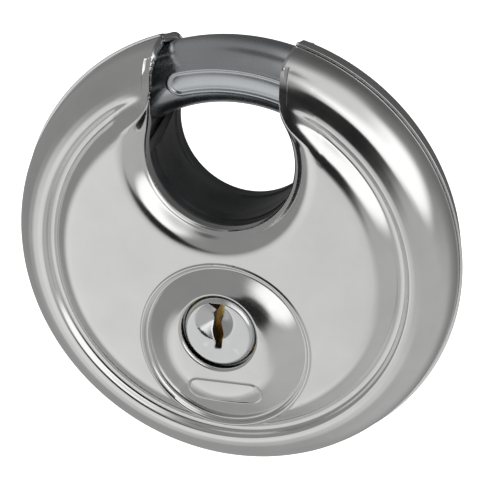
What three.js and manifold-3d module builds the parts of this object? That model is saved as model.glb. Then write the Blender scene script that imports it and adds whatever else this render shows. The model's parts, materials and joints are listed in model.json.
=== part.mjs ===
// Disc padlock with a round shackle, shown locked.
// All lengths are in mm. While it is modelled, the middle of the disc is the zero point: +X is right,
// +Z is up to the shackle and the keyhole faces -Y. The finished parts are then moved down so that the
// origin is the hang point, the middle of the shackle's inner crown, where a hasp carries the lock.
// Turn angles are counted clockwise from +Z as seen from the front, which is the way the lock opens.
import * as THREE from 'three';
import Module from 'manifold-3d';
import { mergeVertices } from 'three/addons/utils/BufferGeometryUtils.js';

const wasm = await Module();
wasm.setup();

// Shared sizes
const GAP = 0.3;
const WALL = 1.3;
const DEG = Math.PI / 180;

// Body shells
const PANEL_FRONT = -11.3;
const PANEL_BACK = 9.5;
const RIM_FRONT = -3.4;
const RIM_BACK = -3.1;
const BOSS_FRONT = -13.2;
const BOSS_RADIUS = 13.2;
const BOSS_Z = -12.7;
const BOSS_HOLLOW = 10;

// Shackle and the parts riveted to its tail
const SHACKLE_RADIUS = 27.6;
const BAR_RADIUS = 5;
const NOSE_TURN = -33;
const TAIL_TURN = 95;
const OPEN_TURN = 60;
const CARRIER_FRONT = 4.8;
const CARRIER_BACK = 6.3;
const RIVET_RING = 24.6;
const RIVET_TURNS = [74, 88];
const RIVET_RADIUS = 1.3;

// Throat, the gap that a hasp goes through
const THROAT_Z = 16.9;
const THROAT_RADIUS = 11.4;
const LIP_HALF = 9.8;
const BEAD = 3;
const FLANGE_FRONT = -7.3;
const FLANGE_BACK = 7;
const LINER_TOP = 18.4;
const MOUTH_HALF = 13.1;

// Anything cut clean through runs on this far, past the outside of the lock
const FAR = 46;
const BEHIND = 9;

// Lock cylinder
const PLUG_Z = -9.6;
const PLUG_RADIUS = 5.25;
const PLUG_HEAD = 5.55;
const PLUG_FRONT = -12.9;
const PLUG_BACK = 2.6;
const NECK_BACK = 6.2;
const NECK_RADIUS = 3;
const NECK_HALF = 2.3;
const BORE_RADIUS = 5.4;
const SHELL_BORE = 5.9;
const HOUSING_FRONT = -9.5;
const HOUSING_BOTTOM = -23.6;
const BARREL_RADIUS = 8;
const BLOCK_HALF = 3.2;
const CLIP_GROOVE = 2.1;
const CLIP_FRONT = 4.8;
const CLIP_BACK = 5.7;

// Pins
const PIN_COUNT = 5;
const PIN_FIRST = -8.5;
const PIN_PITCH = 2.4;
const PIN_RADIUS = 0.85;
const CHAMBER_RADIUS = 0.98;
const SHEAR_Z = PLUG_Z - PLUG_RADIUS;
const KEY_PIN_LENGTHS = [2.5, 2.2, 2.6, 2.1, 2.4];
const DRIVER_LENGTH = 3;
const DRIVER_TOP = SHEAR_Z - 0.25;
const SPRING_BOTTOM = HOUSING_BOTTOM + 0.1;

// Driver cam: its peg circles the plug at the distance of the plug from the middle of the disc, so that
// it runs in a straight slot of the carrier, which turns at exactly half the plug's rate.
const CAM_FRONT = 2.9;
const CAM_BACK = 4.5;
const CAM_HUB = 4.6;
const CAM_TIP = 2.1;
const PEG_RING = -PLUG_Z;
const PEG_RADIUS = 1.4;
const PEG_TURN = 120;
const SLOT_TURN = 150;
const CARRIER_START = 66;
const HOLE_PLAY = 0.15;

// Base plate and the posts that hold the housing
const BASE_FRONT = 6.7;
const BASE_BACK = 7.9;
const POST_X = 6.2;
const POST_Z = -4;
const POST_RADIUS = 2.3;
const SCREW_RADIUS = 1.15;
const SCREW_FRONT = -3;

// Distance from the middle of the disc up to the hang point
const HANG_HEIGHT = SHACKLE_RADIUS - BAR_RADIUS;

// ---------- shape helpers ----------

function signedVolume(position, index) {
  const corners = [new THREE.Vector3(), new THREE.Vector3(), new THREE.Vector3()];
  let sum = 0;
  for (let i = 0; i < index.length; i += 3) {
    corners.forEach((corner, k) => corner.fromArray(position, index[i + k] * 3));
    sum += corners[0].dot(corners[1].clone().cross(corners[2])) / 6;
  }
  return sum;
}

// Closed three.js geometry to a solid that booleans work on
function solid(geometry) {
  geometry.deleteAttribute('normal');
  geometry.deleteAttribute('uv');
  const merged = mergeVertices(geometry, 1e-4);
  const vertProperties = new Float32Array(merged.attributes.position.array);
  const triVerts = new Uint32Array(merged.index.array);
  if (signedVolume(vertProperties, triVerts) < 0) {
    for (let i = 0; i < triVerts.length; i += 3) {
      const kept = triVerts[i];
      triVerts[i] = triVerts[i + 1];
      triVerts[i + 1] = kept;
    }
  }
  return new wasm.Manifold(new wasm.Mesh({ numProp: 3, vertProperties, triVerts }));
}

function joined(solids) {
  return solids.reduce((whole, piece) => whole.add(piece));
}

function cut(base, tools) {
  return tools.reduce((rest, tool) => rest.subtract(tool), base);
}

// Round bar along Y
function bar(radius, from, to, x, z, sides) {
  const geometry = new THREE.CylinderGeometry(radius, radius, to - from, sides);
  geometry.translate(x, (from + to) / 2, z);
  return solid(geometry);
}

// Cone along Y, with its own radius at each end
function cone(fromRadius, toRadius, from, to, x, z, sides) {
  const geometry = new THREE.CylinderGeometry(toRadius, fromRadius, to - from, sides);
  geometry.translate(x, (from + to) / 2, z);
  return solid(geometry);
}

// Round bar along Z
function post(radius, bottom, top, x, y, sides) {
  const geometry = new THREE.CylinderGeometry(radius, radius, top - bottom, sides);
  geometry.rotateX(Math.PI / 2);
  geometry.translate(x, y, (bottom + top) / 2);
  return solid(geometry);
}

function block(low, high) {
  const geometry = new THREE.BoxGeometry(high[0] - low[0], high[1] - low[1], high[2] - low[2]);
  geometry.translate((low[0] + high[0]) / 2, (low[1] + high[1]) / 2, (low[2] + high[2]) / 2);
  return solid(geometry);
}

// Flat outline in X and Z, made thick along Y
function slab(points, from, to) {
  const shape = new THREE.Shape(points.map(([x, z]) => new THREE.Vector2(x, z)));
  const geometry = new THREE.ExtrudeGeometry(shape, { depth: to - from, bevelEnabled: false });
  geometry.rotateX(Math.PI / 2);
  geometry.translate(0, to, 0);
  return solid(geometry);
}

// Profile of radius and Y, spun round the Y axis
function spun(profile, sides) {
  const points = profile.map(([radius, y]) => new THREE.Vector2(radius, y));
  return solid(new THREE.LatheGeometry(points, sides));
}

// Rings of equal count round the throat's middle, each at its own Y, skinned into one solid
function loft(rings) {
  const count = rings[0].points.length;
  const vertices = [];
  const faces = [];
  rings.forEach((ring) => ring.points.forEach(([x, z]) => vertices.push(x, ring.y, z)));
  for (let r = 0; r + 1 < rings.length; r += 1) {
    for (let i = 0; i < count; i += 1) {
      const next = (i + 1) % count;
      const a = r * count + i;
      const b = r * count + next;
      faces.push(a, b, a + count, b, b + count, a + count);
    }
  }
  const last = (rings.length - 1) * count;
  const middle = vertices.length / 3;
  vertices.push(0, rings[0].y, THROAT_Z, 0, rings[rings.length - 1].y, THROAT_Z);
  for (let i = 0; i < count; i += 1) {
    const next = (i + 1) % count;
    faces.push(next, i, middle);
    faces.push(last + i, last + next, middle + 1);
  }
  const geometry = new THREE.BufferGeometry();
  geometry.setAttribute('position', new THREE.Float32BufferAttribute(vertices, 3));
  geometry.setIndex(faces);
  return solid(geometry);
}

function turned(radius, degrees) {
  return [radius * Math.sin(degrees * DEG), radius * Math.cos(degrees * DEG)];
}

function arcPoints(radius, from, to, steps) {
  const points = [];
  for (let i = 0; i <= steps; i += 1) points.push(turned(radius, from + ((to - from) * i) / steps));
  return points;
}

// Flat ring sector round the middle of the disc
function sector(inner, outer, from, to, front, back) {
  const steps = Math.max(2, Math.round((to - from) / 6));
  const outline = arcPoints(outer, from, to, steps).concat(arcPoints(inner, to, from, steps));
  return slab(outline, front, back);
}

class TurnArc extends THREE.Curve {
  constructor(radius, from, to) {
    super();
    Object.assign(this, { radius, from, to });
  }

  getPoint(t) {
    const [x, z] = turned(this.radius, this.from + (this.to - this.from) * t);
    return new THREE.Vector3(x, 0, z);
  }
}

class Coil extends THREE.Curve {
  constructor(radius, x, y, bottom, top, turns) {
    super();
    Object.assign(this, { radius, x, y, bottom, top, turns });
  }

  getPoint(t) {
    const angle = t * this.turns * 2 * Math.PI;
    const x = this.x + this.radius * Math.cos(angle);
    const y = this.y + this.radius * Math.sin(angle);
    return new THREE.Vector3(x, y, this.bottom + (this.top - this.bottom) * t);
  }
}

function circleShape(radius, sides) {
  const points = [];
  for (let i = 0; i < sides; i += 1) {
    const angle = (i / sides) * 2 * Math.PI;
    points.push(new THREE.Vector2(radius * Math.cos(angle), radius * Math.sin(angle)));
  }
  return new THREE.Shape(points);
}

function tube(path, radius, sides, steps) {
  const settings = { steps, extrudePath: path, bevelEnabled: false };
  return solid(new THREE.ExtrudeGeometry(circleShape(radius, sides), settings));
}

function ringTube(radius, from, to, steps) {
  return tube(new TurnArc(SHACKLE_RADIUS, from, to), radius, 20, steps);
}

// ---------- body shells ----------

// Each profile point moves inward, square to the sheet, by the sheet's thickness.
function inset(profile, thickness) {
  return profile.map((point, i) => {
    const before = profile[Math.max(0, i - 1)];
    const after = profile[Math.min(profile.length - 1, i + 1)];
    const along = new THREE.Vector2(after[0] - before[0], after[1] - before[1]).normalize();
    const inward = new THREE.Vector2(-along.y, along.x);
    return [Math.max(0, point[0] + inward.x * thickness), point[1] + inward.y * thickness];
  });
}

// Flat panel, rounded panel edge, groove, ridge and the rolled outer edge
const FRONT_PROFILE = [
  [0, PANEL_FRONT], [12, PANEL_FRONT], [24.2, PANEL_FRONT], [25.4, -11.1], [26.3, -10.7],
  [26.9, -10.1], [27.15, -9.8], [27.95, -9.8], [28.3, -10.15], [28.9, -10.2],
  [30.3, -9.7], [31.6, -8.8], [32.6, -7.6], [33.35, -6.2], [33.9, -4.8], [34.4, RIM_FRONT],
];

const BACK_PROFILE = [
  [0, PANEL_BACK], [12, PANEL_BACK], [24, PANEL_BACK], [26.5, 9.05], [29, 8],
  [31.5, 6.2], [33.2, 3.9], [34.2, 1.4], [34.65, -1], [34.75, RIM_BACK],
];

function filled(profile, rim) {
  return spun(profile.concat([[0, rim]]), 64);
}

// Outline of the throat, larger by the given amount: a round pocket with upright lips above it
function throatOutline(grow) {
  const radius = THROAT_RADIUS + grow;
  const half = LIP_HALF + grow;
  const start = Math.asin(half / radius);
  const lipHeights = [26, 33];
  const points = [[-half, FAR], [half, FAR], [half, lipHeights[1]], [half, lipHeights[0]]];
  const steps = 24;
  for (let i = 0; i <= steps; i += 1) {
    const angle = start + ((2 * Math.PI - 2 * start) * i) / steps;
    const x = radius * Math.sin(angle);
    const z = radius * Math.cos(angle);
    points.push([x, THROAT_Z + z]);
  }
  return points.concat(lipHeights.map((z) => [-half, z]));
}

// Throat space, flared where a shell's panel rolls over into it
function throatTool(panel, flange, grow) {
  const away = Math.sign(panel);
  const steps = [[BEAD, 0], [0.63 * BEAD, 0.25], [0.27 * BEAD, 0.9], [0.05 * BEAD, 1.8], [0, 2.5]];
  const rings = [{ y: panel + away * 4, points: throatOutline(BEAD + grow) }];
  steps.forEach(([flare, depth]) => {
    rings.push({ y: panel - away * depth, points: throatOutline(flare + grow) });
  });
  rings.push({ y: flange, points: throatOutline(grow) });
  return loft(rings);
}

// Half of the body: a hollow pressed dish, with a wall that turns inward round the throat
function shell(profile, rim, panel, flange) {
  const away = Math.sign(panel);
  const outside = filled(profile, rim);
  const inner = inset(profile, away < 0 ? WALL : -WALL);
  inner[0][0] = 0;
  const last = inner.length - 1;
  inner[last] = [inner[last][0], rim - away];
  const inside = filled(inner, rim - away);
  const skin = outside.subtract(inside);
  const flangeWall = throatTool(panel, flange, WALL).intersect(outside);
  return skin.add(flangeWall).subtract(throatTool(panel, rim - away * 2, 0));
}

// Round raised boss that the keyhole is in
function bossProfile() {
  const top = BOSS_FRONT;
  return [[0, top], [7, top], [8.4, top + 0.25], [9.6, top + 0.65], [10.8, top + 1.2],
    [12, top + 1.75], [BOSS_RADIUS, PANEL_FRONT + 0.1], [BOSS_RADIUS, PANEL_FRONT + 0.5],
    [0, PANEL_FRONT + 0.5]];
}

function frontShell() {
  const behindPanel = PANEL_FRONT + 2.8;
  const boss = spun(bossProfile(), 44).translate([0, 0, BOSS_Z]);
  const hollow = bar(BOSS_HOLLOW, BOSS_FRONT + WALL, behindPanel, 0, BOSS_Z, 44);
  const bore = bar(SHELL_BORE, BOSS_FRONT - 2, behindPanel, 0, PLUG_Z, 40);
  const mouth = cone(SHELL_BORE + 0.9, SHELL_BORE - 0.3, BOSS_FRONT - 0.3, BOSS_FRONT + 0.9, 0, PLUG_Z, 40);
  const plain = shell(FRONT_PROFILE, RIM_FRONT, PANEL_FRONT, FLANGE_FRONT);
  return cut(plain.add(boss), [hollow, bore, mouth]);
}

function backShell() {
  return shell(BACK_PROFILE, RIM_BACK, PANEL_BACK, FLANGE_BACK);
}

// Lining of the throat between the two rolled flanges, with a shallow step and a ridge
function throatLiner() {
  const front = FLANGE_FRONT + GAP;
  const back = FLANGE_BACK - GAP;
  const outer = loft([front, back].map((y) => ({ y, points: throatOutline(WALL) })));
  const steps = [[front - 1, 0.1], [-5.6, 0.1], [-5.3, -0.2], [2.6, -0.2], [2.9, -0.5], [3.5, -0.5],
    [3.8, -0.2], [back + 1, -0.2]];
  const inner = loft(steps.map(([y, grow]) => ({ y, points: throatOutline(grow) })));
  const above = block([-20, -20, LINER_TOP], [20, 20, FAR + 1]);
  return cut(outer, [inner, above]);
}

// ---------- shackle body ----------

function rivetHoles(from) {
  return RIVET_TURNS.map((turn) => {
    const [x, z] = turned(RIVET_RING, turn);
    return bar(RIVET_RADIUS + HOLE_PLAY, from, BEHIND, x, z, 20);
  });
}

// Round bar with a stepped-down nose and a flat on its tail where the carrier is riveted
function shackle() {
  const bow = ringTube(BAR_RADIUS, NOSE_TURN + 1.6, TAIL_TURN, 30);
  const nose = ringTube(BAR_RADIUS - 0.7, NOSE_TURN, NOSE_TURN + 3, 3);
  const seat = sector(20, 35, CARRIER_START, TAIL_TURN + 6, CARRIER_FRONT - GAP, BEHIND);
  return cut(bow.add(nose), [seat, ...rivetHoles(-0.5)]);
}

// Plate on the shackle's tail, with the radial slot that the cam's peg drives
function carrierPlate() {
  const arm = sector(15, 22, CARRIER_START, SLOT_TURN + 9, CARRIER_FRONT, CARRIER_BACK);
  const tab = sector(20, 28.4, CARRIER_START, TAIL_TURN + 1, CARRIER_FRONT, CARRIER_BACK);
  const half = PEG_RADIUS + GAP;
  const reach = 2 * PEG_RING;
  const across = turned(half, SLOT_TURN + 90);
  const near = turned(reach * Math.cos((OPEN_TURN / 2) * DEG), SLOT_TURN);
  const far = turned(reach, SLOT_TURN);
  const sides = [[near, -1], [near, 1], [far, 1], [far, -1]];
  const corners = sides.map(([end, side]) => [end[0] + side * across[0], end[1] + side * across[1]]);
  const ends = [near, far].map(([x, z]) => bar(half, 0, BEHIND, x, z, 24));
  return cut(arm.add(tab), [slab(corners, 0, BEHIND), ...ends, ...rivetHoles(0)]);
}

function carrierRivet(turn) {
  const [x, z] = turned(RIVET_RING, turn);
  const shank = bar(RIVET_RADIUS, 0, CARRIER_BACK + 0.5, x, z, 20);
  const head = cone(2.1, 1.5, CARRIER_BACK + GAP, CARRIER_BACK + 0.9, x, z, 20);
  return shank.add(head);
}

// ---------- lock cylinder ----------

function pinY(i) {
  return PIN_FIRST + PIN_PITCH * i;
}

// Barrel round the plug, with the pin stack below it and two screw ears
function cylinderHousing() {
  const barrel = bar(BARREL_RADIUS, HOUSING_FRONT, PLUG_BACK, 0, PLUG_Z, 40);
  const stack = block([-BLOCK_HALF, HOUSING_FRONT, HOUSING_BOTTOM], [BLOCK_HALF, PLUG_BACK, PLUG_Z]);
  const ears = [-1, 1].map((side) => bar(POST_RADIUS + 0.5, -6, PLUG_BACK, side * POST_X, POST_Z, 24));
  const bore = bar(BORE_RADIUS, HOUSING_FRONT - 1, PLUG_BACK + 1, 0, PLUG_Z, 40);
  const threads = [-1, 1].map((side) => {
    return bar(SCREW_RADIUS + HOLE_PLAY, SCREW_FRONT - GAP, PLUG_BACK + 1, side * POST_X, POST_Z, 20);
  });
  const chambers = [];
  for (let i = 0; i < PIN_COUNT; i += 1) {
    chambers.push(post(CHAMBER_RADIUS, HOUSING_BOTTOM - 1, SHEAR_Z + 1, 0, pinY(i), 16));
  }
  return cut(joined([barrel, stack, ...ears]), [bore, ...threads, ...chambers]);
}

// Wavy keyway outline, relative to the plug's axis, open at the top of the plug
const KEYWAY = [
  [1.2, 6], [1.2, 4.7], [0.75, 4.3], [0.1, 1.7], [0.6, -0.1], [0.75, -1.1], [0.4, -2.4],
  [-0.6, -2.4], [-0.3, -1], [-1.1, -0.1], [-0.75, 3.6], [-0.1, 4.3], [-1.2, 4.7], [-1.2, 6],
];

// Plug with its head, keyway, key dimple and pin chambers, and a flatted neck that carries the cam
function cylinderPlug() {
  const head = bar(PLUG_HEAD, PLUG_FRONT, HOUSING_FRONT - GAP, 0, PLUG_Z, 40);
  const rod = bar(PLUG_RADIUS, HOUSING_FRONT - 1, PLUG_BACK, 0, PLUG_Z, 40);
  const flats = block([-NECK_HALF, PLUG_BACK - 1, PLUG_Z - 5], [NECK_HALF, NECK_BACK, PLUG_Z + 5]);
  const neck = bar(NECK_RADIUS, PLUG_BACK - 1, NECK_BACK, 0, PLUG_Z, 32).intersect(flats);
  const core = bar(CLIP_GROOVE, CLIP_FRONT - 1, CLIP_BACK + 1, 0, PLUG_Z, 32);
  const groove = bar(5, CLIP_FRONT, CLIP_BACK, 0, PLUG_Z, 32).subtract(core);
  const keyway = slab(KEYWAY.map(([x, z]) => [x, z + PLUG_Z]), PLUG_FRONT - 1, 1.6);
  const dimple = cone(3.4, 0.3, PLUG_FRONT - 0.4, PLUG_FRONT + 1, -0.3, PLUG_Z + 1.6, 32);
  const chambers = [];
  for (let i = 0; i < PIN_COUNT; i += 1) {
    chambers.push(post(CHAMBER_RADIUS, SHEAR_Z - 1, PLUG_Z + 0.4, 0, pinY(i), 16));
  }
  return cut(joined([head, rod, neck]), [groove, keyway, dimple, ...chambers]);
}

function driverCam() {
  const [pegX, offset] = turned(PEG_RING, PEG_TURN);
  const pegZ = PLUG_Z + offset;
  const hub = bar(CAM_HUB, CAM_FRONT, CAM_BACK, 0, PLUG_Z, 36);
  const tip = bar(CAM_TIP, CAM_FRONT, CAM_BACK, pegX, pegZ, 24);
  const across = turned(CAM_TIP, PEG_TURN + 90);
  const corners = [[0, PLUG_Z, -1], [0, PLUG_Z, 1], [pegX, pegZ, 1], [pegX, pegZ, -1]];
  const outline = corners.map(([x, z, side]) => [x + side * across[0], z + side * across[1]]);
  const peg = bar(PEG_RADIUS, CAM_FRONT, CARRIER_BACK, pegX, pegZ, 24);
  const seat = NECK_HALF + 0.1;
  const flats = block([-seat, 0, PLUG_Z - 5], [seat, BEHIND, PLUG_Z + 5]);
  const hole = bar(NECK_RADIUS + 0.12, 0, BEHIND, 0, PLUG_Z, 32).intersect(flats);
  return joined([hub, tip, slab(outline, CAM_FRONT, CAM_BACK), peg]).subtract(hole);
}

// Open ring that snaps into the groove of the plug's neck
function retainingClip() {
  const disc = bar(4.2, CLIP_FRONT + HOLE_PLAY, CLIP_BACK - HOLE_PLAY, 0, PLUG_Z, 32);
  const middle = bar(CLIP_GROOVE + 0.25, CLIP_FRONT - 1, CLIP_BACK + 1, 0, PLUG_Z, 32);
  const mouth = block([-1.7, CLIP_FRONT - 1, PLUG_Z], [1.7, CLIP_BACK + 1, PLUG_Z + 6]);
  return cut(disc, [middle, mouth]);
}

// Pin with a blunt cone on the end that the key lifts
function keyPin(i) {
  const base = SHEAR_Z + 0.15;
  const y = pinY(i);
  const rod = post(PIN_RADIUS, base, base + KEY_PIN_LENGTHS[i] - 0.5, 0, y, 14);
  const geometry = new THREE.CylinderGeometry(0.3, PIN_RADIUS, 0.6, 14);
  geometry.rotateX(Math.PI / 2);
  geometry.translate(0, y, base + KEY_PIN_LENGTHS[i] - 0.3);
  return rod.add(solid(geometry));
}

function driverPin(i) {
  return post(PIN_RADIUS, DRIVER_TOP - DRIVER_LENGTH, DRIVER_TOP, 0, pinY(i), 14);
}

// Five-turn coil between the chamber cover and the driver pin
function pinSpring(i) {
  const path = new Coil(0.62, 0, pinY(i), SPRING_BOTTOM, DRIVER_TOP - DRIVER_LENGTH - 0.4, 5);
  return tube(path, 0.16, 5, 40);
}

function chamberCover() {
  const top = HOUSING_BOTTOM - GAP;
  return block([-2.2, HOUSING_FRONT + 0.2, top - 0.7], [2.2, PLUG_BACK - 0.2, top]);
}

// Hardened disc behind the boss, bored for the plug's head
function drillPlate() {
  const disc = bar(BOSS_HOLLOW - GAP, BOSS_FRONT + WALL + GAP, -9.9, 0, BOSS_Z, 40);
  return disc.subtract(bar(PLUG_HEAD + 0.25, -14, -8, 0, PLUG_Z, 40));
}

// ---------- inner frame ----------

// Ring sector that stays clear of the throat and its liner
function guideBlock(from, to, outer) {
  const blank = sector(19.6, outer, from, to, -5.9, 4.3);
  const liner = block([-MOUTH_HALF, -BEHIND, -5], [MOUTH_HALF, BEHIND, LINER_TOP + GAP]);
  const mouth = block([GAP - MOUTH_HALF, -BEHIND, -5], [MOUTH_HALF - GAP, BEHIND, FAR]);
  return cut(blank, [liner, mouth]);
}

// Block in the left horn that takes the shackle's nose
function noseSocket() {
  const blank = guideBlock(-46, -23.5, 30.4);
  return blank.subtract(ringTube(BAR_RADIUS + GAP, NOSE_TURN - 1.5, -18, 7));
}

// Saddle in the right horn that the shackle slides round on
function shackleGuide() {
  const blank = guideBlock(25, 62, 24.6);
  return blank.subtract(ringTube(BAR_RADIUS + GAP, 20, 70, 20));
}

// Plate behind the cylinder, countersunk for the two housing screws
function basePlate() {
  const plate = slab([[-13, 0.8], [13, 0.8], [15, -6], [11, -20.5], [-11, -20.5], [-15, -6]],
    BASE_FRONT, BASE_BACK);
  const sinks = [-1, 1].map((side) => {
    return cone(SCREW_RADIUS + 0.2, 2.3, BASE_FRONT - 0.1, BASE_BACK + 0.1, side * POST_X, POST_Z, 24);
  });
  return cut(plate, sinks);
}

// Sleeve that keeps the plate off the cylinder, leaving room for the cam and the carrier
function spacer(side) {
  const sleeve = bar(POST_RADIUS, PLUG_BACK + GAP, BASE_FRONT - GAP, side * POST_X, POST_Z, 24);
  return sleeve.subtract(bar(SCREW_RADIUS + 0.2, 0, BEHIND, side * POST_X, POST_Z, 20));
}

// Countersunk slotted screw
function housingScrew(side) {
  const shank = bar(SCREW_RADIUS, SCREW_FRONT, BASE_FRONT + 0.4, side * POST_X, POST_Z, 20);
  const head = cone(SCREW_RADIUS - 0.05, 2, BASE_FRONT, BASE_BACK, side * POST_X, POST_Z, 24);
  const driverSlot = block([side * POST_X - 2.5, BASE_BACK - 0.5, POST_Z - 0.25],
    [side * POST_X + 2.5, BASE_BACK + 1, POST_Z + 0.25]);
  return shank.add(head).subtract(driverSlot);
}

// ---------- materials ----------

function steelSheet(name) {
  return new THREE.MeshStandardMaterial({ name, color: 0xc9c9c6, roughness: 0.28, metalness: 1 });
}

function hardenedSteel(name) {
  return new THREE.MeshStandardMaterial({ name, color: 0x9298a0, roughness: 0.32, metalness: 1 });
}

function darkLining(name) {
  return new THREE.MeshStandardMaterial({ name, color: 0x2b2d30, roughness: 0.5, metalness: 0.3 });
}

function platedBrass(name) {
  return new THREE.MeshStandardMaterial({ name, color: 0xb9bcc0, roughness: 0.25, metalness: 1 });
}

function bareBrass(name) {
  return new THREE.MeshStandardMaterial({ name, color: 0xc39a4a, roughness: 0.35, metalness: 1 });
}

function springSteel(name) {
  return new THREE.MeshStandardMaterial({ name, color: 0xa8abb0, roughness: 0.3, metalness: 1 });
}

function castZinc(name) {
  return new THREE.MeshStandardMaterial({ name, color: 0x85878a, roughness: 0.55, metalness: 0.8 });
}

// ---------- assembly ----------

const padlock = new THREE.Group();
padlock.name = 'disc_padlock';

function place(name, body, finish) {
  const data = body.getMesh();
  const geometry = new THREE.BufferGeometry();
  geometry.setAttribute('position', new THREE.Float32BufferAttribute(data.vertProperties, 3));
  geometry.setIndex(Array.from(data.triVerts));
  geometry.translate(0, 0, -HANG_HEIGHT);
  const mesh = new THREE.Mesh(geometry, finish(name));
  mesh.name = name;
  padlock.add(mesh);
}

place('front_shell', frontShell(), steelSheet);
place('back_shell', backShell(), steelSheet);
place('throat_liner', throatLiner(), darkLining);
place('shackle', shackle(), hardenedSteel);
place('carrier_plate', carrierPlate(), castZinc);
RIVET_TURNS.forEach((turn, i) => place(`carrier_rivet_${i + 1}`, carrierRivet(turn), springSteel));
place('cylinder_housing', cylinderHousing(), bareBrass);
place('cylinder_plug', cylinderPlug(), platedBrass);
place('driver_cam', driverCam(), castZinc);
place('retaining_clip', retainingClip(), springSteel);
place('drill_plate', drillPlate(), hardenedSteel);
place('chamber_cover', chamberCover(), bareBrass);
place('nose_socket', noseSocket(), castZinc);
place('shackle_guide', shackleGuide(), castZinc);
place('base_plate', basePlate(), castZinc);
[['left', -1], ['right', 1]].forEach(([word, side]) => {
  place(`spacer_${word}`, spacer(side), bareBrass);
  place(`housing_screw_${word}`, housingScrew(side), springSteel);
});
for (let i = 0; i < PIN_COUNT; i += 1) {
  place(`key_pin_${i + 1}`, keyPin(i), bareBrass);
  place(`driver_pin_${i + 1}`, driverPin(i), bareBrass);
  place(`pin_spring_${i + 1}`, pinSpring(i), springSteel);
}

export default padlock;
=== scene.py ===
import json
import math

import bpy
import numpy as np
from mathutils import Matrix, Vector
from mathutils.geometry import delaunay_2d_cdt


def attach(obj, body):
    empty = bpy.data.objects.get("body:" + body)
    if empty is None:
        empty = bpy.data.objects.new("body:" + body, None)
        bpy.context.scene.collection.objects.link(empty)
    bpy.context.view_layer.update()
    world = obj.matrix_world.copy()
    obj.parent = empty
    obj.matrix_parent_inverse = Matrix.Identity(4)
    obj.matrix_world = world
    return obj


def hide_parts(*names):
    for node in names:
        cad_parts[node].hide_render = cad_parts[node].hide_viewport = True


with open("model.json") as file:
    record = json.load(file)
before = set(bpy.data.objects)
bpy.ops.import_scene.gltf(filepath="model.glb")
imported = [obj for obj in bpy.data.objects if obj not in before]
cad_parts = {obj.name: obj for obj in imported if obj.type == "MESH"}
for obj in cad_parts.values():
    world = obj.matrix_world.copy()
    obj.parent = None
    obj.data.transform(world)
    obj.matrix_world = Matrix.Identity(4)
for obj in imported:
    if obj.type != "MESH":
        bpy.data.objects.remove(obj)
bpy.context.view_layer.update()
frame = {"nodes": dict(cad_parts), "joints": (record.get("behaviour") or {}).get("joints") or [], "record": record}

# Shapes are worked out in mm from the middle of the disc, with the keyhole facing -Y, and moved
# into the row's frame when a piece is made.
MM = 0.001
JOINTS = {joint["name"]: joint for joint in frame["joints"]}
DISC_Z = JOINTS["shackle_turn"]["pos_m"][2] / MM
PLUG_Z = JOINTS["plug_turn"]["pos_m"][2] / MM - DISC_Z

# The throat: the pocket's middle and radius, and half the gap between the lips above it
THROAT_Z = 16.9
THROAT_R = 11.4
LIP_HALF = 9.8
# Radius and Y of the rows that turn the sheets' rims over, out to the seam between them
FRONT_RIM = [(33.1, -8.1), (33.4, -7.45), (33.68, -6.7), (33.9, -5.9), (34.08, -5.0), (34.22, -4.2),
             (34.29, -3.5), (34.33, -3.35), (34.3, -3.22), (34.2, -3.16)]
BACK_RIM = [(32.9, 3.2), (33.3, 2.45), (33.6, 1.6), (33.82, 0.6), (34.02, -0.4), (34.28, -1.4), (34.55, -2.2),
            (34.72, -2.8), (34.72, -3.0), (34.62, -3.1)]
BOSS_X = 0.3
BOSS_Z = -12.5
BOSS_R = 12.9
# The blank oblong pressed into the boss: its middle, half its straight length and its round ends' radius
OBLONG = (0.6, -19.2, 4.0, 1.7)
BORE_R = 5.9
SHEET = 1.15
# Heights over which the throat's wall gives way to a bare edge beside the shackle
WALL_ENDS = (20, 24)
LEAST_WALL = 0.12

# Throat liner: how far round from the top its front and rear parts start
LINER_FRONT_TURN = 93
LINER_REAR_TURN = 78

# The bar's two ends in degrees clockwise from the top, how far its nose's rounding goes on, and its radii
NOSE_TURN, TAIL_TURN = -33, 95
NOSE_ROUNDING = 1.6
SHACKLE_R, BAR_R = 27.6, 5
# The blank panel on the bar: its ends' turns, its half width and where its middle is round the section
PANEL_TURNS = (-18.5, 24.0)
PANEL_HALF = 1.65
PANEL_AROUND = 94

PLUG_FRONT = -12.95
# The cut ends in front of the first pin, which rises behind it
KEYWAY_FLOOR = -9.6
PLUG_HEAD = 5.55
# Radius and Y of the rows that carry the plug on, from the edge of its face to the end of its neck
ROD = [(5.55, -11.9), (5.55, -9.8), (5.25, -9.78), (5.25, 2.6), (3.0, 2.62), (3.0, 6.2)]
KEYWAY = [(-1.45, 4.85), (1.25, 4.85), (1.1, 4.2), (0.9, 3.4), (0.35, 2.4), (0.0, 1.35), (0.4, 0.5),
          (0.75, -0.3), (0.5, -1.4), (0.4, -2.5), (-0.7, -2.5), (-0.45, -1.5), (-0.9, -0.6),
          (-1.15, 0.2), (-1.0, 1.7), (-0.85, 2.6), (-0.3, 3.4), (-0.8, 4.1)]
# The drilled dimple in the plug's face: its middle, radius and depth
DIMPLE = (-0.5, 1.9, 2.95, 1.75)

FLOOR_Z = DISC_Z - 220
FLOOR_HALF = 4000
FLOOR_GLOW = 0.05
ROOM_LIGHT = 0.29
# Each card: bearing from the front (right is positive), height, half width, half height, turn,
# softness and light
CARDS = [
    (0, -65, 400, 38, 0, 0.4, 0.36),
    (75, -45, 75, 38, 0, 0.5, 0.5),
    (-22, -28, 32, 19, 0, 0.45, 0.84),
    (40, -20, 50, 16, 0, 0.5, 0.5),
    (66, 32, 54, 32, 0, 0.2, 1.3),
    (96, 62, 75, 22, 0, 0.5, 0.75),
    (175, 15, 38, 50, 0, 0.5, 0.1),
    (4, 4, 21, 14, 45, 0.2, 0.012),
    (-15, 82, 90, 12, 0, 0.3, 0.1),
]


# ---------- camera ----------

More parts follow.
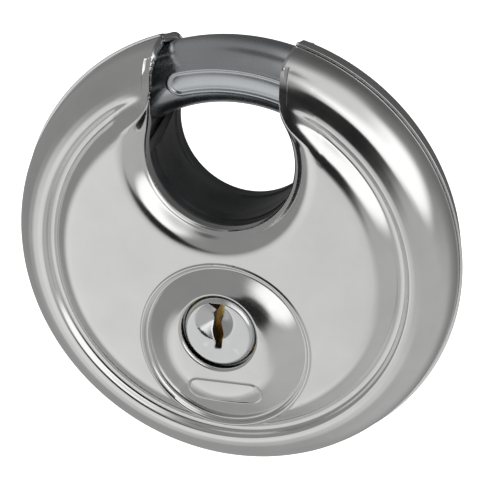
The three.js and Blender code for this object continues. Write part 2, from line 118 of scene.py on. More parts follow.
def add_camera(azimuth, elevation, roll, distance, shift_right, shift_up, lens):
    a, e, r = (math.radians(v) for v in (azimuth, elevation, roll))
    back = Vector((math.sin(a) * math.cos(e), -math.cos(a) * math.cos(e), math.sin(e)))
    right = Vector((math.cos(a), math.sin(a), 0))
    up = back.cross(right)
    across = math.cos(r) * right + math.sin(r) * up
    above = math.cos(r) * up - math.sin(r) * right
    place = (back * distance + across * shift_right + above * shift_up) * MM
    place.z += DISC_Z * MM
    data = bpy.data.cameras.new("camera")
    data.lens = lens
    data.sensor_width = 36
    data.clip_start = 0.01
    data.clip_end = 20
    camera = bpy.data.objects.new("camera", data)
    turn = Matrix((across, above, back)).transposed().to_4x4()
    camera.matrix_world = Matrix.Translation(place) @ turn
    bpy.context.scene.collection.objects.link(camera)
    bpy.context.scene.camera = camera


# ---------- mesh helpers ----------

def piece(name, points, faces, body, material, replaced, sharp=38):
    """A mesh from points in mm round the middle of the disc, which rides on a body and takes the
    place of a CAD node. Edges over the sharp angle stay crisp."""
    points = (np.asarray(points, float) + (0, 0, DISC_Z)) * MM
    mesh = bpy.data.meshes.new(name)
    mesh.from_pydata(points.tolist(), [], [list(map(int, f)) for f in faces])
    mesh.validate()
    mesh.shade_smooth()
    mesh.set_sharp_from_angle(angle=math.radians(sharp))
    mesh.materials.append(material)
    made = bpy.data.objects.new(name, mesh)
    bpy.context.scene.collection.objects.link(made)
    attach(made, body)
    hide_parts(replaced)
    return made


def smooth_curve(points, spread):
    """A function through points, with its corners rounded over about the given distance."""
    knots = np.asarray(points, float)
    step = spread / 6
    low, high = knots[0, 0] - 4 * spread, knots[-1, 0] + 4 * spread
    fine = np.arange(low, high, step)
    values = np.interp(fine, knots[:, 0], knots[:, 1])
    reach = np.arange(-18, 19)
    weights = np.exp(-0.5 * (reach * step / spread) ** 2)
    padded = np.pad(values, 18, mode="edge")
    rounded = np.convolve(padded, weights / weights.sum(), mode="valid")
    return lambda x: np.interp(x, fine, rounded)


def ease(low, high, x):
    t = np.clip((x - low) / (high - low), 0, 1)
    return t * t * (3 - 2 * t)


def soft_min(a, b, k):
    h = np.clip(0.5 + 0.5 * (b - a) / k, 0, 1)
    return b * (1 - h) + a * h - k * h * (1 - h)


def soft_max(a, b, k):
    return -soft_min(-a, -b, k)


def polar(radius, degrees):
    """Points at a radius and clockwise angles from +Z, as columns of X and Z."""
    t = np.radians(degrees)
    return np.stack([radius * np.sin(t), radius * np.cos(t)], axis=-1)


# ---------- drawn sheet ----------

def throat_distance(x, z):
    """Distance out from the edge of the throat, a round pocket with upright lips above it."""
    pocket = np.hypot(x, z - THROAT_Z) - THROAT_R
    below = np.minimum(z - THROAT_Z, 0)
    lips = np.hypot(np.maximum(np.abs(x) - LIP_HALF, 0), below)
    lips = np.where(np.abs(x) < LIP_HALF, np.maximum(np.abs(x) - LIP_HALF, -z + THROAT_Z), lips)
    return soft_min(pocket, lips, 1.8)


def throat_row(offset, degrees):
    """Where rays from the pocket's middle cross the line that lies an offset out from the throat."""
    way = polar(1, degrees)
    low = np.zeros(len(way))
    high = np.full(len(way), 70.0)
    for _ in range(40):
        middle = (low + high) / 2
        at = way * middle[:, None]
        inside = throat_distance(at[:, 0], at[:, 1] + THROAT_Z) < offset
        low = np.where(inside, middle, low)
        high = np.where(inside, high, middle)
    return way * low[:, None] + (0, THROAT_Z)


def spaced(low, high, step):
    return np.linspace(low, high, max(2, int(round((high - low) / step)) + 1))


def inside_circle(points, radius):
    return points[np.hypot(points[:, 0], points[:, 1]) < radius]


def spot_distance(points, spot):
    """Distance of points from the middle of a round feature."""
    return np.hypot(points[:, 0] - spot["x"], points[:, 1] - spot["z"])


def off_oblong(points, gap):
    """The points that keep a gap from the edge of the blank oblong."""
    return points[np.abs(oblong_distance(points[:, 0], points[:, 1])) > gap]


def triangulated(flat, edges):
    """Corners and triangles over flat points that keep the given edges."""
    made = delaunay_2d_cdt([Vector(p) for p in flat], edges, [], 0, 1e-6)
    corners = np.array([tuple(p) for p in made[0]])
    return corners, np.array([f for f in made[2] if len(f) == 3])


def free_edges(triangles):
    """The edges that only one triangle has, each in that triangle's direction, and their corners."""
    ways = {way: True for a, b, c in triangles for way in ((a, b), (b, c), (c, a))}
    free = [(p, q) for p, q in ways if (q, p) not in ways]
    return free, np.array(sorted({p for pair in free for p in pair}))


def add_walls(points, faces, on_edge, along, levels):
    """Adds each level as a row of points, with faces down to it along the given edges. The result
    gives each edge corner's point in the last row."""
    row = on_edge
    total = len(points[0])
    for level in levels:
        points.append(level)
        new = np.arange(total, total + len(on_edge))
        total += len(on_edge)
        here = dict(zip(on_edge, row))
        there = dict(zip(on_edge, new))
        faces.extend((here[q], here[p], there[p], there[q]) for p, q in along)
        row = new
    return dict(zip(on_edge, row))


def sheet_outline(rim):
    """The rim's arc from lip to lip with the throat's edge back again, and the turn at which rays
    from the pocket's middle meet the arc's end."""
    corner = math.degrees(math.asin(LIP_HALF / rim))
    outer = polar(rim, spaced(corner, 360 - corner, 0.75))
    turn = math.degrees(math.atan2(outer[0, 0], outer[0, 1] - THROAT_Z))
    lip = inside_circle(throat_row(0, spaced(turn, 360 - turn, 0.55)[1:-1]), rim - 0.25)
    return np.concatenate([outer, lip[::-1]]), turn


def sheet_plan(rim, rings, flare, spots, oblong):
    """The sheet's points over X and Z, in rows along its features, and its closed edges."""
    groups = []
    edges = []

    def add(points, closed=False):
        if closed:
            start = sum(len(group) for group in groups)
            edges.extend((start + i, start + (i + 1) % len(points)) for i in range(len(points)))
        groups.append(points)

    def clear(points):
        keep = throat_distance(points[:, 0], points[:, 1]) > flare[-1] + 0.35
        for spot in spots:
            keep &= spot_distance(points, spot) > spot["rows"][-1] + 0.3
        return points[keep]

    outline, turn = sheet_outline(rim)
    add(outline, True)
    for offset in flare[1:]:
        add(inside_circle(throat_row(offset, spaced(turn - 6, 366 - turn, 0.7)), rim - 0.3))
    for spot in spots:
        circles = [polar(radius, np.arange(0, 360, 360 / spot["count"])) + (spot["x"], spot["z"])
                   for radius in spot["rows"]]
        if spot["hole"]:
            add(circles.pop(0), True)
        for row in circles:
            for other in spots:
                if other["rows"][-1] < spot["rows"][-1]:
                    row = row[spot_distance(row, other) > other["rows"][-1] + 0.25]
            add(off_oblong(inside_circle(row, rim - 0.3), 0.55))
    for radius in rings:
        add(clear(polar(radius, np.arange(0, 360, 0.8))))
    lines = np.arange(-26, 26, 1.3)
    grid = np.stack(np.meshgrid(lines, lines), -1).reshape(-1, 2)
    grid = clear(inside_circle(grid, rings[0] - 0.5))
    if oblong:
        add(oblong_rows())
        grid = off_oblong(grid, 0.7)
    add(grid)
    return np.concatenate(groups), edges


def cut_to_outline(corners, triangles, rim, spots):
    """The triangles that lie on the sheet, and not in the throat or a hole."""
    middle = corners[triangles].mean(axis=1)
    keep = throat_distance(middle[:, 0], middle[:, 1]) > -0.004
    keep &= np.hypot(middle[:, 0], middle[:, 1]) < rim
    for spot in spots:
        if spot["hole"]:
            keep &= spot_distance(middle, spot) > spot["rows"][0] * 0.9995
    return triangles[keep]


def wall_levels(edge, y, on_rim, on_hole, hole_wall, wall, rim_rows, side):
    """The rows that turn the rim over and take the throat's and the hole's edges inward."""
    goal = np.where(on_hole, hole_wall, wall)
    bare = np.where(on_hole, 0, ease(*WALL_ENDS, edge[:, 1]))
    depth = np.maximum(-side * (goal - y) * (1 - bare), LEAST_WALL)
    levels = []
    for count, (radius, rim_y) in enumerate(rim_rows[1:], 1):
        share = count / (len(rim_rows) - 1)
        grown = np.where(on_rim, radius / np.maximum(np.hypot(edge[:, 0], edge[:, 1]), 1), 1)
        deep = np.where(on_rim, rim_y, y - side * depth * share)
        levels.append(np.stack([edge[:, 0] * grown, deep, edge[:, 1] * grown], axis=-1))
    return levels


def sheet(name, height, rim_rows, rings, flare, wall, spots, material, side):
    """A pressed sheet: height gives Y over X and Z. rings are the radii of its concentric rows, flare
    the rows round the throat, wall how far in the throat's edge goes on, spots the round features,
    and side is -1 for the front sheet and 1 for the back one."""
    rim = rim_rows[0][0]
    flat, edges = sheet_plan(rim, rings, flare, spots, side < 0)
    corners, triangles = triangulated(flat, edges)
    triangles = cut_to_outline(corners, triangles, rim, spots)
    y = height(corners[:, 0], corners[:, 1])
    points = [np.stack([corners[:, 0], y, corners[:, 1]], axis=-1)]
    faces = [tuple(t) for t in triangles]

    free, on_edge = free_edges(triangles)
    edge = corners[on_edge]
    holes = [spot for spot in spots if spot["hole"]]
    on_hole = np.zeros(len(on_edge), bool)
    for hole in holes:
        on_hole |= spot_distance(edge, hole) < hole["rows"][0] + 0.05
    on_rim = ~on_hole & (np.hypot(edge[:, 0], edge[:, 1]) >= rim - 0.05)
    # the rim and the throat's wall part where they meet
    kind = dict(zip(on_edge, on_rim))
    along = [(p, q) for p, q in free if kind[p] == kind[q]]
    hole_wall = holes[0]["wall"] if holes else 0
    add_walls(points, faces, on_edge, along,
              wall_levels(edge, y[on_edge], on_rim, on_hole, hole_wall, wall, rim_rows, side))
    if side > 0:
        faces = [face[::-1] for face in faces]
    return piece(name + "_sheet", np.concatenate(points), faces, "lock_body", material, name)


def thicken(thing):
    """Gives a sheet its thickness, on its inner side."""
    solid = thing.modifiers.new("thickness", "SOLIDIFY")
    solid.thickness = SHEET * MM
    solid.offset = -1
    solid.use_rim = True


# Curves over radius, or over distance out from the throat or the boss's middle, that give Y
RIDGE_OUT = [(29.3, -10.29), (30.3, -10.1), (31.3, -9.78), (32.0, -9.4), (32.6, -8.85), (33.1, -8.1),
             (33.6, -6.9)]
panel_grooved = smooth_curve([
    (0, -11.3), (23.6, -11.3), (24.4, -11.2), (25.1, -10.98), (25.6, -10.7), (26.1, -10.35), (26.55, -9.92),
    (26.8, -9.64), (27.0, -9.52), (27.6, -9.54), (27.95, -9.7), (28.2, -10.08), (28.6, -10.32),
    *RIDGE_OUT], 0.1)
panel_plain = smooth_curve([
    (0, -11.3), (23.5, -11.3), (25.0, -11.15), (26.6, -10.8), (28.2, -10.5)] + RIDGE_OUT, 0.3)
throat_roll = smooth_curve([
    (0, -8.75), (0.1, -9.1), (0.25, -9.3), (0.42, -9.36), (0.6, -9.42), (0.9, -9.78),
    (1.25, -10.2), (1.7, -10.62), (2.2, -10.95), (2.7, -11.17), (3.2, -11.32), (3.8, -11.5),
    (4.6, -11.9), (6, -13)], 0.1)
boss_rise = smooth_curve([
    (0, -13.2), (6.8, -13.2), (7.6, -13.13), (8.5, -12.93), (9.4, -12.62), (10.2, -12.24), (11.0, -11.78),
    (11.8, -11.25), (12.4, -10.86), (12.6, -10.8), (12.8, -11.0), (13.0, -11.32), (13.3, -11.44),
    (13.6, -11.25), (13.9, -10.7), (14.4, -9.5), (30, 20)], 0.09)
back_curve = smooth_curve([
    (0, 9.5), (22.4, 9.5), (24, 9.33), (25.8, 8.9), (27.6, 8.15), (29.5, 6.95), (31.0, 5.6), (32.1, 4.35),
    (32.9, 3.2), (33.4, 2.2)], 0.25)
back_roll = smooth_curve([
    (0, 6.1), (0.3, 6.95), (0.75, 7.7), (1.3, 8.3), (1.9, 8.8), (2.6, 9.2), (3.4, 9.55), (5, 10.3)], 0.12)


def oblong_distance(x, z):
    middle_x, middle_z, half, radius = OBLONG
    return np.hypot(np.maximum(np.abs(x - middle_x) - half, 0), z - middle_z) - radius


def oblong_rows():
    middle_x, middle_z, half, radius = OBLONG
    rows = []
    for grow in spaced(-0.42, 0.42, 0.06):
        r = radius + grow
        ends = polar(r, spaced(0, 180, 5))
        across = spaced(-half, half, 0.4)
        straight = np.stack([across, np.full(len(across), r)], axis=-1)
        rows.append(np.concatenate([straight, ends + (half, 0), straight[::-1] * (1, -1),
                                    -ends + (-half, 0)]) + (middle_x, middle_z))
    return np.concatenate(rows)


def front_height(x, z):
    radius = np.hypot(x, z)
    away = throat_distance(x, z)
    fade = ease(0.8, 6.5, away)
    disc = panel_plain(radius) * (1 - fade) + panel_grooved(radius) * fade
    horn = ease(20, 27, z)
    y = soft_max(disc, throat_roll(away * (1 + 1.5 * horn)) - 1.8 * horn, 0.3)
    from_boss = np.hypot(x - BOSS_X, z - BOSS_Z)
    y = np.where(from_boss < BOSS_R, boss_rise(from_boss), soft_min(y, boss_rise(from_boss), 0.1))
    y = y + 0.11 * np.exp(-(oblong_distance(x, z) / 0.12) ** 2)
    bore = np.hypot(x, z - PLUG_Z)
    lip = np.clip((BORE_R + 0.45 - bore) / 0.45, 0, 1)
    return y + 0.45 * (1 - np.sqrt(1 - lip ** 2 * 0.98))


def back_height(x, z):
    return soft_min(back_curve(np.hypot(x, z)), back_roll(throat_distance(x, z)), 0.25)


def front_sheet(material):
    rings = np.concatenate([spaced(23.4, 26.2, 0.35), spaced(26.35, 28.9, 0.1), spaced(29.1, 32.95, 0.22)])
    flare = np.concatenate([[0, 0.06, 0.14, 0.24], spaced(0.36, 1.3, 0.12), spaced(1.5, 4.6, 0.22)])
    boss = {"x": BOSS_X, "z": BOSS_Z, "hole": False, "count": 220,
            "rows": np.concatenate([spaced(6.9, 12.1, 0.3), spaced(12.25, 14.2, 0.09)])}
    bore = {"x": 0, "z": PLUG_Z, "hole": True, "count": 120, "wall": -11.3,
            "rows": np.concatenate([[BORE_R, BORE_R + 0.05], spaced(BORE_R + 0.12, BORE_R + 0.9, 0.1)])}
    made = sheet("front_shell", front_height, FRONT_RIM, rings, flare, -7.25, [boss, bore], material, -1)
    thicken(made)


def back_sheet(material):
    rings = spaced(21.5, 32.6, 0.3)
    flare = np.concatenate([[0, 0.08, 0.18], spaced(0.3, 4.8, 0.22)])
    made = sheet("back_shell", back_height, BACK_RIM, rings, flare, 7.05, [], material, 1)
    thicken(made)


# ---------- swept pieces ----------

def swept(sections):
    """Sections of equal count joined into a skin with closed ends."""
    count = len(sections[0])
    points = np.concatenate(sections)
    faces = []
    for r in range(len(sections) - 1):
        for i in range(count):
            a, b = r * count + i, r * count + (i + 1) % count
            faces.append((a, b, b + count, a + count))
    faces.append(tuple(range(count - 1, -1, -1)))
    last = (len(sections) - 1) * count
    faces.append(tuple(range(last, last + count)))
    return points, faces


def outward(points, faces):
    """The faces, all turned over if the closed skin they make is inside out."""
    total = 0
    for face in faces:
        for i in range(1, len(face) - 1):
            total += np.dot(points[face[0]], np.cross(points[face[i]], points[face[i + 1]]))
    return faces if total > 0 else [face[::-1] for face in faces]


# Throat liner: Y against distance out from the pocket's edge, from the front to the back
LINER = [(-6.95, 1.05), (-6.95, 0.35), (-6.7, 0.12), (-5.7, 0.06), (-5.45, -0.02), (-5.3, -0.16),
         (-5.0, -0.2), (-3.6, -0.16), (-3.2, -0.2), (-2.9, -0.12), (3.2, -0.12), (3.4, -0.2),
         (3.6, -0.38), (3.8, -0.45), (4.0, -0.38), (4.2, -0.2), (4.4, -0.12), (5.9, -0.12),
         (6.3, -0.1), (6.45, 0.02), (6.45, 1.05)]


def throat_liner(material):
    shares = spaced(0, 1, 1 / 150)
    sections = np.zeros((len(shares), len(LINER), 3))
    for k, (y, grow) in enumerate(LINER):
        start = LINER_FRONT_TURN + (LINER_REAR_TURN - LINER_FRONT_TURN) * ease(2.0, 2.8, y)
        turns = start + (360 - 2 * start) * shares
        flat = polar(THROAT_R + grow, turns)
        sections[:, k] = np.stack([flat[:, 0], np.full(len(turns), y), THROAT_Z + flat[:, 1]], axis=-1)
    points, faces = swept(sections)
    piece("liner_band", points, outward(points, faces), "lock_body", material,
          "throat_liner", 50)


# ---------- shackle ----------

def nose_rounding(turn):
    """How far the bar's skin is drawn in over the round end of its nose."""
    share = min(1, (turn - NOSE_TURN) / NOSE_ROUNDING)
    return 0.7 * (1 - math.sqrt(max(0, 1 - (1 - share) ** 2)))


def panel_distance(turn, around):
    """Distance out from the edge of the blank panel, along the bar's skin."""
    length = math.radians(turn - sum(PANEL_TURNS) / 2) * SHACKLE_R
    span = (around - math.radians(PANEL_AROUND)) * BAR_R
    half = math.radians(PANEL_TURNS[1] - PANEL_TURNS[0]) / 2 * SHACKLE_R
    end = max(abs(length) - (half - PANEL_HALF), 0)
    return np.hypot(end, span) - PANEL_HALF


def shackle_sections():
    """Round section swept round the disc, with a blank oblong pressed into its front."""
    nose = [NOSE_TURN, NOSE_TURN + 0.15, NOSE_TURN + 0.5, NOSE_TURN + 1.0, NOSE_TURN + 1.6]
    # the angle counts from straight out, by way of the front, to straight in
    around = np.radians(np.arange(0, 360, 2.0))
    sections = []
    for turn in np.concatenate([nose, spaced(NOSE_TURN + 2.2, TAIL_TURN, 0.35)]):
        edge = panel_distance(turn, around)
        press = 0.22 * (1 - ease(-0.3, 0.0, edge))
        lip = 0.07 * np.exp(-((edge - 0.14) / 0.16) ** 2)
        radius = BAR_R - nose_rounding(turn) - press + lip
        out = SHACKLE_R + radius * np.cos(around)
        t = math.radians(turn)
        sections.append(np.stack([out * math.sin(t), -radius * np.sin(around), out * math.cos(t)], axis=-1))
    return np.array(sections)


def shackle_bar(material):
    points, faces = swept(shackle_sections())
    piece("shackle_bow", points, outward(points, faces), "shackle", material, "shackle", 50)


# ---------- plug ----------

def rounded_loop(points, radius, steps):
    """A closed outline with each corner replaced by a short curve."""
    points = np.array(points, float)
    loop = []
    for i, corner in enumerate(points):
        before, after = points[i - 1], points[(i + 1) % len(points)]
        a, b = before - corner, after - corner
        start = corner + a * min(0.45, radius / np.linalg.norm(a))
        end = corner + b * min(0.45, radius / np.linalg.norm(b))
        for t in np.linspace(0, 1, steps):
            loop.append((1 - t) ** 2 * start + 2 * t * (1 - t) * corner + t * t * end)
    return np.array(loop)


def resampled(loop, step):
    closed = np.vstack([loop, loop[:1]])
    lengths = np.hypot(*np.diff(closed, axis=0).T)
    along = np.concatenate([[0], np.cumsum(lengths)])
    count = int(along[-1] / step)
    at = np.linspace(0, along[-1], count, endpoint=False)
    return np.stack([np.interp(at, along, closed[:, 0]), np.interp(at, along, closed[:, 1])], axis=-1)


def loop_distance(loop, points):
    """Signed distance of points from a closed outline, negative inside it."""
    best = np.full(len(points), 1e9)
    inside = np.zeros(len(points), bool)
    for p, q in zip(loop, np.roll(loop, -1, axis=0)):
        way = q - p
        t = np.clip(((points - p) @ way) / (way @ way), 0, 1)
        best = np.minimum(best, np.hypot(*(points - p - t[:, None] * way).T))
        crosses = (p[1] > points[:, 1]) != (q[1] > points[:, 1])
        with np.errstate(divide="ignore", invalid="ignore"):
            at = p[0] + (points[:, 1] - p[1]) / (q[1] - p[1]) * (q[0] - p[0])
        inside ^= crosses & (points[:, 0] < at)
    return np.where(inside, -best, best)


def plug_face_height(x, z, keyway):
    """Y of the plug's face, with a rounded rim, the dimple and the keyway's worn edge."""
    edge = np.clip((np.hypot(x, z) - (PLUG_HEAD - 0.62)) / 0.62, 0, 1)
    y = PLUG_FRONT + 0.62 * edge ** 1.25
    middle_x, middle_z, radius, depth = DIMPLE
    dimple = np.hypot(x - middle_x, z - middle_z)
    y = y + depth * np.clip((radius - dimple) / radius, 0, 1)
    away = loop_distance(keyway, np.stack([x, z], axis=-1))
    return y + 0.06 * np.clip(1 - away / 0.15, 0, 1) ** 2


def keyway_fringe(keyway):
    """Rows of points close outside the keyway's edge."""
    way = np.roll(keyway, -1, axis=0) - np.roll(keyway, 1, axis=0)
    way /= np.hypot(*way.T)[:, None]
    out = np.stack([way[:, 1], -way[:, 0]], axis=-1)
    rows = []
    for grow in (0.05, 0.1, 0.17, 0.25):
        row = keyway + grow * out
        away = loop_distance(keyway, row)
        row = np.where((away > 0)[:, None], row, keyway - grow * out)
        row = row[np.abs(loop_distance(keyway, row) - grow) < 0.02]
        rows.append(inside_circle(row, 5.0))
    return rows


def plug_plan(keyway):
    """The points of the plug's face, in circles round its axis, with its rim and keyway as edges."""
    def closed(start, count):
        return [(start + i, start + (i + 1) % count) for i in range(count)]

    radii = [PLUG_HEAD, 5.5, 5.4, 5.3, 5.2, 5.1, 5.0, 4.93, 4.85] + list(np.arange(4.5, 0.2, -0.28))
    circles = []
    for radius in radii:
        count = max(12, int(radius * 30))
        circles.append(polar(radius, np.arange(count) * 360 / count))
    inner = [row[loop_distance(keyway, row) > 0.1] for row in circles[1:]]
    edges = closed(0, len(keyway)) + closed(len(keyway), len(circles[0]))
    return np.concatenate([keyway, circles[0], *inner, *keyway_fringe(keyway)]), edges


def plug_levels(edge, y, on_rim):
    """The rows that carry the rim back as the plug's body, and the keyway down to its floor."""
    levels = []
    for count, (radius, deep) in enumerate(ROD, 1):
        away = edge * np.where(on_rim, radius / np.hypot(*edge.T), 1)[:, None]
        level = np.where(on_rim, deep, y + count / len(ROD) * (KEYWAY_FLOOR - y))
        levels.append(np.stack([away[:, 0], level, away[:, 1] + PLUG_Z], axis=-1))
    return levels


def lap(ends):
    """The corners in order round a closed loop of edges."""
    first = next(iter(ends))
    loop = [first]
    at = ends[first]
    while at != first:
        loop.append(at)
        at = ends[at]
    return loop


def plug_front(material, bare, keyway_shade):
    keyway = resampled(rounded_loop(KEYWAY, 0.3, 6), 0.12)
    corners, triangles = triangulated(*plug_plan(keyway))
    middle = corners[triangles].mean(axis=1)
    triangles = triangles[(loop_distance(keyway, middle) > 0) & (np.hypot(*middle.T) < PLUG_HEAD)]
    y = plug_face_height(corners[:, 0], corners[:, 1], keyway)
    points = [np.stack([corners[:, 0], y, corners[:, 1] + PLUG_Z], axis=-1)]
    faces = [tuple(t) for t in triangles]

    free, on_edge = free_edges(triangles)
    edge = corners[on_edge]
    on_rim = np.hypot(*edge.T) > 5.3
    last = add_walls(points, faces, on_edge, free, plug_levels(edge, y[on_edge], on_rim))
    kind = dict(zip(on_edge, on_rim))
    for wanted in (True, False):
        loop = lap({p: q for p, q in free if kind[p] == wanted})
        faces.append(tuple(last[p] for p in loop))
    points = np.concatenate(points)
    made = piece("plug_with_keyway", points, outward(points, faces), "plug", material,
                 "cylinder_plug", 40)
    paint_keyway(made, keyway, bare, keyway_shade)


def paint_keyway(made, keyway, bare, keyway_shade):
    """The keyway's walls near the face take a dark material as painted shade, and bare brass glints at the bottom
    of the cut.
    """
    made.data.materials.append(bare)
    made.data.materials.append(keyway_shade)
    middles = np.array([tuple(polygon.center) for polygon in made.data.polygons]) / MM
    middles = middles - (0, 0, DISC_Z + PLUG_Z)
    inside = (loop_distance(keyway, middles[:, ::2]) < 0.02) & (middles[:, 1] > PLUG_FRONT + 0.2)
    # faces inside the slot nearer the face get the dark material as painted shade; the deepest part stays bare
    # brass
    bare_deep = middles[:, 1] > KEYWAY_FLOOR - 0.9
    slots = np.where(inside, np.where(bare_deep, 1, 2), 0)
    made.data.polygons.foreach_set("material_index", slots.astype(np.int32))


# ---------- node trees ----------

def math_node(tree, operation, *values):
    """The output of a math node, from numbers and other outputs."""
    made = tree.nodes.new("ShaderNodeMath")
    made.operation = operation
    for i, value in enumerate(values):
        if isinstance(value, (int, float)):
            made.inputs[i].default_value = value
        else:
            tree.links.new(value, made.inputs[i])
    return made.outputs[0]


def range_node(tree, value, numbers, interpolation="LINEAR"):
    """A value mapped from the first two numbers to the last two."""
    made = tree.nodes.new("ShaderNodeMapRange")
    made.interpolation_type = interpolation
    tree.links.new(value, made.inputs["Value"])
    for socket, number in zip(("From Min", "From Max", "To Min", "To Max"), numbers):
        made.inputs[socket].default_value = number
    return made.outputs["Result"]


# ---------- procedural materials ----------

class Paint:
    """A material's node tree, with short names for the nodes that are used here."""

    def __init__(self, name, metallic):
        self.material = bpy.data.materials.new(name)
        self.material.use_nodes = True
        self.tree = self.material.node_tree
        self.shader = self.tree.nodes["Principled BSDF"]
        self.shader.inputs["Metallic"].default_value = metallic
        self.where = self.node("ShaderNodeTexCoord").outputs["Object"]

    def node(self, kind, links=(), **settings):
        made = self.tree.nodes.new(kind)
        for key, value in settings.items():
            if key in made.inputs.keys():
                made.inputs[key].default_value = value
            else:
                setattr(made, key, value)
        for socket, source in dict(links).items():
            self.tree.links.new(source, made.inputs[socket])
        return made

    def moved(self, scale=(1, 1, 1), turn=(0, 0, 0)):
        """Coordinates in mm, scaled by axis and turned."""
        first = self.node("ShaderNodeMapping", {0: self.where})
        first.inputs["Scale"].default_value = (1 / MM,) * 3
        second = self.node("ShaderNodeMapping", {0: first.outputs[0]})
        second.inputs["Rotation"].default_value = [math.radians(t) for t in turn]
        second.inputs["Scale"].default_value = scale
        return second.outputs[0]

    def noise(self, where, scale, detail=3, rough=0.55):
        made = self.node("ShaderNodeTexNoise", {"Vector": where}, Scale=scale, Detail=detail, Roughness=rough)
        return made.outputs["Fac"]

    def ramp(self, value, low, high, to_low=0.0, to_high=1.0):
        return range_node(self.tree, value, (low, high, to_low, to_high))

    def plus(self, a, b):
        return math_node(self.tree, "ADD", a, b)

    def times(self, a, b):
        return math_node(self.tree, "MULTIPLY", a, b)

    def most(self, a, b):
        return math_node(self.tree, "MAXIMUM", a, b)

    def mix(self, factor, a, b):
        made = self.node("ShaderNodeMix", {"Factor": factor}, data_type="RGBA")
        for socket, value in ((made.inputs[6], a), (made.inputs[7], b)):
            if isinstance(value, tuple):
                socket.default_value = (*value, 1)
            else:
                self.tree.links.new(value, socket)
        return made.outputs[2]

    def edges(self, low, high):
        """1 on convex edges, 0 elsewhere."""
        return self.ramp(self.node("ShaderNodeNewGeometry").outputs["Pointiness"], low, high)

    def colour(self, source):
        self.tree.links.new(source, self.shader.inputs["Base Color"])

    def roughness(self, source):
        self.tree.links.new(source, self.shader.inputs["Roughness"])

    def bump(self, source, height_mm, strength=1.0):
        made = self.node("ShaderNodeBump", {"Height": source})
        made.inputs["Strength"].default_value = strength
        made.inputs["Distance"].default_value = height_mm * MM
        self.tree.links.new(made.outputs[0], self.shader.inputs["Normal"])


# Each set of fine scratches: its turn, and how much the noise is squeezed along each axis
SCRATCHES = (((0, 0, 0), (0.5, 14, 18)), ((20, 35, 60), (0.4, 16, 15)), ((70, 10, -50), (0.6, 15, 17)))


def metal(name, base, dark, worn, rough, grain, scratch):
    """Metal with cloudy polish, fine scratches in three directions and rubbed edges."""
    paint = Paint(name, 1)
    cloud = paint.noise(paint.moved(), 0.16, 4)
    fine = paint.noise(paint.moved(), 5.5, 2)
    lines = None
    for turn, squeeze in SCRATCHES:
        hair = paint.ramp(paint.noise(paint.moved(squeeze, turn), 1.0, 2, 0.7), 0.6, 0.8)
        lines = hair if lines is None else paint.most(lines, hair)
    edge = paint.ramp(paint.edges(0.55, 0.7), 0, 1, 0, 0.6)
    tone = paint.mix(paint.ramp(cloud, 0.3, 0.7), dark, base)
    paint.colour(paint.mix(edge, tone, worn))
    level = paint.plus(paint.ramp(cloud, 0.3, 0.72, rough - grain, rough + grain),
                       paint.ramp(fine, 0.3, 0.7, -grain / 3, grain / 3))
    paint.roughness(paint.plus(level, paint.times(lines, scratch)))
    paint.bump(paint.plus(paint.times(fine, 0.5), paint.times(lines, -0.6)), 0.0016, 0.6)
    return paint.material


def lining():
    """Moulded dark plastic with a faint flow along the band, greasy patches and a painted highlight on its ridges
    and edges.
    """
    paint = Paint("moulded_lining", 0)
    flow = paint.noise(paint.moved((1, 0.15, 1)), 0.9, 3)
    patch = paint.noise(paint.moved(), 0.22, 4, 0.6)
    grain = paint.noise(paint.moved(), 9, 2)
    tone = paint.mix(paint.ramp(patch, 0.35, 0.7), (0.018, 0.019, 0.021), (0.034, 0.035, 0.037))
    # convex edges and the ridge are lightened as a painted highlight
    paint.colour(paint.mix(paint.edges(0.52, 0.6), tone, (0.09, 0.09, 0.092)))
    paint.roughness(paint.ramp(patch, 0.3, 0.7, 0.24, 0.42))
    paint.bump(paint.plus(paint.times(grain, 0.5), flow), 0.03, 0.5)
    return paint.material


# ---------- studio ----------

def card_mask(tree, bearing, height, card):
    """1 inside a card's rounded outline and 0 outside it, with a soft edge."""
    az, el, half_width, half_height, turn, soft = card
    side = math_node(tree, "WRAP", math_node(tree, "SUBTRACT", bearing, az), -180, 180)
    up = math_node(tree, "SUBTRACT", height, el)
    c, s = math.cos(math.radians(turn)), math.sin(math.radians(turn))
    across = math_node(tree, "ADD", math_node(tree, "MULTIPLY", side, c), math_node(tree, "MULTIPLY", up, s))
    above = math_node(tree, "SUBTRACT", math_node(tree, "MULTIPLY", up, c),
                      math_node(tree, "MULTIPLY", side, s))
    cubes = []
    for way, half in ((across, half_width), (above, half_height)):
        share = math_node(tree, "ABSOLUTE", math_node(tree, "DIVIDE", way, half))
        cubes.append(math_node(tree, "POWER", share, 3))
    far = math_node(tree, "POWER", math_node(tree, "ADD", *cubes), 1 / 3)
    return range_node(tree, far, (1 - soft, 1 + soft, 1, 0), "SMOOTHSTEP")


def studio_world():
    """A soft grey room with broad pale cards and dark flags, which is white to the camera."""
    world = bpy.data.worlds.new("studio")
    bpy.context.scene.world = world
    world.use_nodes = True
    tree = world.node_tree
    split = tree.nodes.new("ShaderNodeSeparateXYZ")
    tree.links.new(tree.nodes.new("ShaderNodeTexCoord").outputs["Generated"], split.inputs[0])
    x, y, z = split.outputs
    turn = math_node(tree, "ARCTAN2", x, math_node(tree, "MULTIPLY", y, -1))
    bearing = math_node(tree, "MULTIPLY", turn, 180 / math.pi)
    height = math_node(tree, "MULTIPLY", math_node(tree, "ARCSINE", z), 180 / math.pi)
    level = ROOM_LIGHT
    for *card, light in CARDS:
        mask = card_mask(tree, bearing, height, card)
        kept = math_node(tree, "MULTIPLY", math_node(tree, "SUBTRACT", 1, mask), level)
        level = math_node(tree, "ADD", kept, math_node(tree, "MULTIPLY", mask, light))
    seen = tree.nodes.new("ShaderNodeLightPath").outputs["Is Camera Ray"]
    background = tree.nodes["Background"]
    tree.links.new(math_node(tree, "MAXIMUM", level, seen), background.inputs["Strength"])
    background.inputs["Color"].default_value = (1, 1, 1, 1)


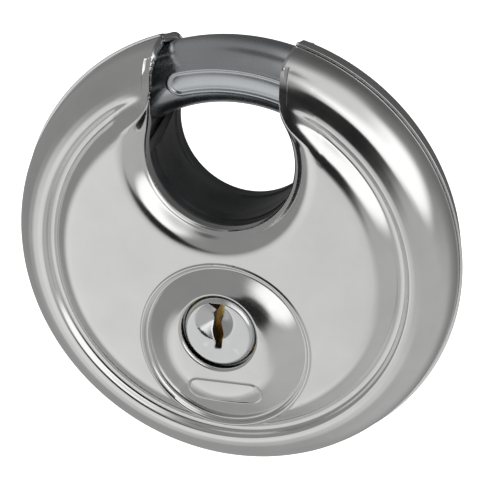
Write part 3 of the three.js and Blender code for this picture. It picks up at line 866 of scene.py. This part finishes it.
def pale_floor():
    """A wide pale sweep, well below the lock."""
    steps = np.linspace(-1, 1, 25)
    points = [(x * FLOOR_HALF, y * FLOOR_HALF, FLOOR_Z) for y in steps for x in steps]
    count = len(steps)
    faces = [(r * count + c, r * count + c + 1, (r + 1) * count + c + 1, (r + 1) * count + c)
             for r in range(count - 1) for c in range(count - 1)]
    mesh = bpy.data.meshes.new("floor")
    mesh.from_pydata((np.array(points) * MM).tolist(), [], faces)
    floor = bpy.data.objects.new("floor", mesh)
    bpy.context.scene.collection.objects.link(floor)
    paint = Paint("pale_paper", 0)
    tooth = paint.noise(paint.moved(), 1.2, 3)
    paint.colour(paint.mix(tooth, (0.86, 0.86, 0.86), (0.9, 0.9, 0.9)))
    paint.roughness(paint.ramp(tooth, 0.3, 0.7, 0.8, 0.95))
    paint.bump(tooth, 0.02)
    seen = paint.node("ShaderNodeLightPath").outputs["Is Camera Ray"]
    paint.shader.inputs["Emission Color"].default_value = (1, 1, 1, 1)
    paint.tree.links.new(paint.plus(seen, FLOOR_GLOW), paint.shader.inputs["Emission Strength"])
    mesh.materials.append(paint.material)
    # the world's cards show in the metal, and not the floor
    floor.visible_glossy = False


# ---------- the scene ----------

bpy.context.scene.view_settings.view_transform = "Standard"
add_camera(18.8, 23.9, -2.3, 299, 0.37, -0.75, 144)
studio_world()
pale_floor()

steel = metal("satin_steel", (0.80, 0.80, 0.79), (0.74, 0.74, 0.735), (0.86, 0.86, 0.855), 0.15, 0.025, 0.05)
bar_steel = metal("plated_bar", (0.62, 0.645, 0.67), (0.56, 0.58, 0.605), (0.76, 0.78, 0.8), 0.24, 0.04, 0.08)
hard_steel = metal("hard_steel", (0.42, 0.43, 0.45), (0.33, 0.34, 0.36), (0.6, 0.6, 0.62), 0.34, 0.06, 0.1)
brass = metal("turned_brass", (0.68, 0.5, 0.2), (0.55, 0.38, 0.14), (0.85, 0.66, 0.32), 0.3, 0.06, 0.1)
# a dark metal painted on the keyway's walls as shade inside the narrow slot
keyway_shade = metal("keyway_painted_shade", (0.3, 0.3, 0.3), (0.16, 0.16, 0.16), (0.4, 0.38, 0.33), 0.4, 0.08, 0.1)
nickel = metal("plated_brass", (0.78, 0.78, 0.77), (0.7, 0.71, 0.72), (0.9, 0.88, 0.82), 0.17, 0.04, 0.1)
spring = metal("spring_wire", (0.55, 0.56, 0.58), (0.45, 0.46, 0.48), (0.75, 0.75, 0.76), 0.3, 0.05, 0.08)
zinc = metal("cast_zinc", (0.36, 0.365, 0.38), (0.27, 0.28, 0.29), (0.55, 0.56, 0.57), 0.5, 0.08, 0.06)
dark = lining()

front_sheet(steel)
back_sheet(steel)
throat_liner(dark)
shackle_bar(bar_steel)
plug_front(nickel, brass, keyway_shade)

# the CAD nodes that stay take the same materials
FINISHES = {"steel_sheet": steel, "plated_bar": bar_steel, "hard_steel": hard_steel, "dark_lining": dark,
            "plated_brass": nickel, "brass": brass, "spring_steel": spring, "cast_zinc": zinc}
for entry in frame["record"]["subparts"]:
    for slot in frame["nodes"][entry["node"]].material_slots:
        slot.material = FINISHES[entry["material_slot"]]
